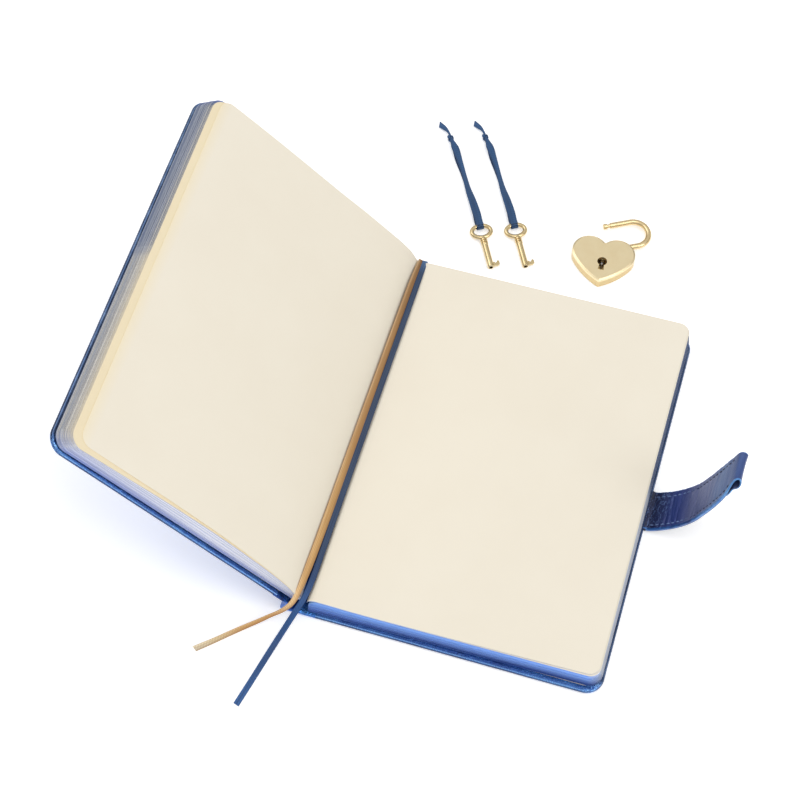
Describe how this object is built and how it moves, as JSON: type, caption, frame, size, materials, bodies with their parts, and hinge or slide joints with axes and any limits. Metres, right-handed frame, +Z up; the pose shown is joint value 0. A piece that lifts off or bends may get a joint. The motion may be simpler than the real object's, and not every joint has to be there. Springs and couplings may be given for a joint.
{
  "type": "lockable diary",
  "caption": "Hard-cover diary lying open with one half raised, ribbon bookmarks, a closing strap, an open heart padlock and barrel keys on ribbon loops.",
  "frame": {"origin": "on the outer face of the back cover where it lies on the table, half-way up the book and 75 mm from the gutter towards the fore-edge", "axes": "+X from the gutter towards the fore-edge of the half that lies on the table, +Y towards the head of the book, +Z up from the table"},
  "size_m": [0.3093, 0.369, 0.117],
  "materials": {
    "cover_leatherette": "blue foil leatherette with a soft metallic sheen",
    "greyboard": "plain binder's board",
    "endpaper": "plain cream paper",
    "pages": "plain cream leaves with blue metallic edges",
    "spine_cloth": "thin cloth lining",
    "strap_leather": "glossy creased blue leather",
    "strap_backing": "dark blue leather",
    "ribbon_gold": "gold satin",
    "ribbon_blue": "navy satin",
    "gold_metal": "pale gold plating",
    "steel": "plain steel"
  },
  "bodies": {
    "back_half": {"back_board": "greyboard", "back_cover_skin": "cover_leatherette", "back_endpaper": "endpaper", "strap_base": "strap_leather", "signature_06": "pages", "signature_07": "pages", "signature_08": "pages", "signature_09": "pages", "signature_10": "pages", "right_spine_lining": "spine_cloth", "bookmark_gold": "ribbon_gold", "bookmark_blue": "ribbon_blue"},
    "spine_lower": {"spine_lower_skin": "cover_leatherette", "spine_lower_card": "greyboard"},
    "spine_upper": {"spine_upper_skin": "cover_leatherette", "spine_upper_card": "greyboard"},
    "front_cover": {"front_board": "greyboard", "front_cover_skin": "cover_leatherette", "front_endpaper": "endpaper", "front_tab": "strap_leather"},
    "left_pages": {"signature_01": "pages", "signature_02": "pages", "signature_03": "pages", "signature_04": "pages", "signature_05": "pages", "left_spine_lining": "spine_cloth"},
    "leaf": {"turning_leaf": "pages"},
    "strap_riser": {"strap_riser_face": "strap_leather", "strap_riser_backing": "strap_backing"},
    "strap_flap": {"strap_flap_face": "strap_leather", "strap_flap_backing": "strap_backing", "strap_loop": "strap_leather"},
    "padlock": {"lock_case": "gold_metal", "lock_face_plate": "gold_metal", "lock_case_rivets": "gold_metal", "lock_drill_pin": "steel", "shackle_pivot_pin": "steel", "latch_spring": "steel"},
    "shackle": {"shackle": "gold_metal"},
    "latch": {"latch_bolt": "steel"},
    "key_1": {"key_1": "gold_metal", "key_ribbon_1": "ribbon_blue", "key_ribbon_1_knot": "ribbon_blue"},
    "key_2": {"key_2": "gold_metal", "key_ribbon_2": "ribbon_blue", "key_ribbon_2_knot": "ribbon_blue"}
  },
  "joints": [
    {"name": "book_close", "type": "hinge", "parent": "back_half", "child": "left_pages", "pos_m": [-0.075, 0, 0.0134], "axis": [0, 1, 0], "range_deg": [0, 134.08]},
    {"name": "spine_lower_fold", "type": "hinge", "parent": "back_half", "child": "spine_lower", "pos_m": [-0.0768, 0, 0.0019], "axis": [0, 1, 0], "range_deg": [0, 95.39]},
    {"name": "spine_upper_fold", "type": "hinge", "parent": "spine_lower", "child": "spine_upper", "pos_m": [-0.0875, 0, 0.0009], "axis": [0, 1, 0], "range_deg": [-126.6, 0]},
    {"name": "front_cover_fold", "type": "hinge", "parent": "spine_upper", "child": "front_cover", "pos_m": [-0.08284, 0, 0.00859], "axis": [0, 1, 0], "range_deg": [0, 165.34]},
    {"name": "leaf_turn", "type": "hinge", "parent": "back_half", "child": "leaf", "pos_m": [-0.075, 0, 0.0134], "axis": [0, 1, 0], "range_deg": [-125, 0]},
    {"name": "strap_bend", "type": "hinge", "parent": "back_half", "child": "strap_riser", "pos_m": [0.0755, -0.001, 0.0017], "axis": [0, -1, 0], "range_deg": [0, 40.26]},
    {"name": "strap_fold_over", "type": "hinge", "parent": "strap_riser", "child": "strap_flap", "pos_m": [0.0965, -0.001, 0.0265], "axis": [0, -1, 0], "range_deg": [0, 72.79]},
    {"name": "padlock_lift", "type": "slide", "parent": "back_half", "child": "padlock", "axis": [0, 0, 1], "range_m": [0, 0.06]},
    {"name": "shackle_swing", "type": "hinge", "parent": "padlock", "child": "shackle", "pos_m": [0.02347, 0.14729, 0.0033], "axis": [0, 0, 1], "range_deg": [0, 66]},
    {"name": "latch_slide", "type": "slide", "parent": "padlock", "child": "latch", "axis": [-0.9962, -0.0872, 0], "range_m": [0, 0.0014]},
    {"name": "key_1_lift", "type": "slide", "parent": "back_half", "child": "key_1", "axis": [0, 0, 1], "range_m": [0, 0.06]},
    {"name": "key_2_lift", "type": "slide", "parent": "back_half", "child": "key_2", "axis": [0, 0, 1], "range_m": [0, 0.06]}
  ],
  "couplings": [
    {"joint": "spine_lower_fold", "follows": "book_close", "ratio": 0.71106},
    {"joint": "spine_upper_fold", "follows": "book_close", "ratio": -0.94387},
    {"joint": "front_cover_fold", "follows": "book_close", "ratio": 1.2328},
    {"joint": "strap_fold_over", "follows": "strap_bend", "ratio": 1.807}
  ]
}
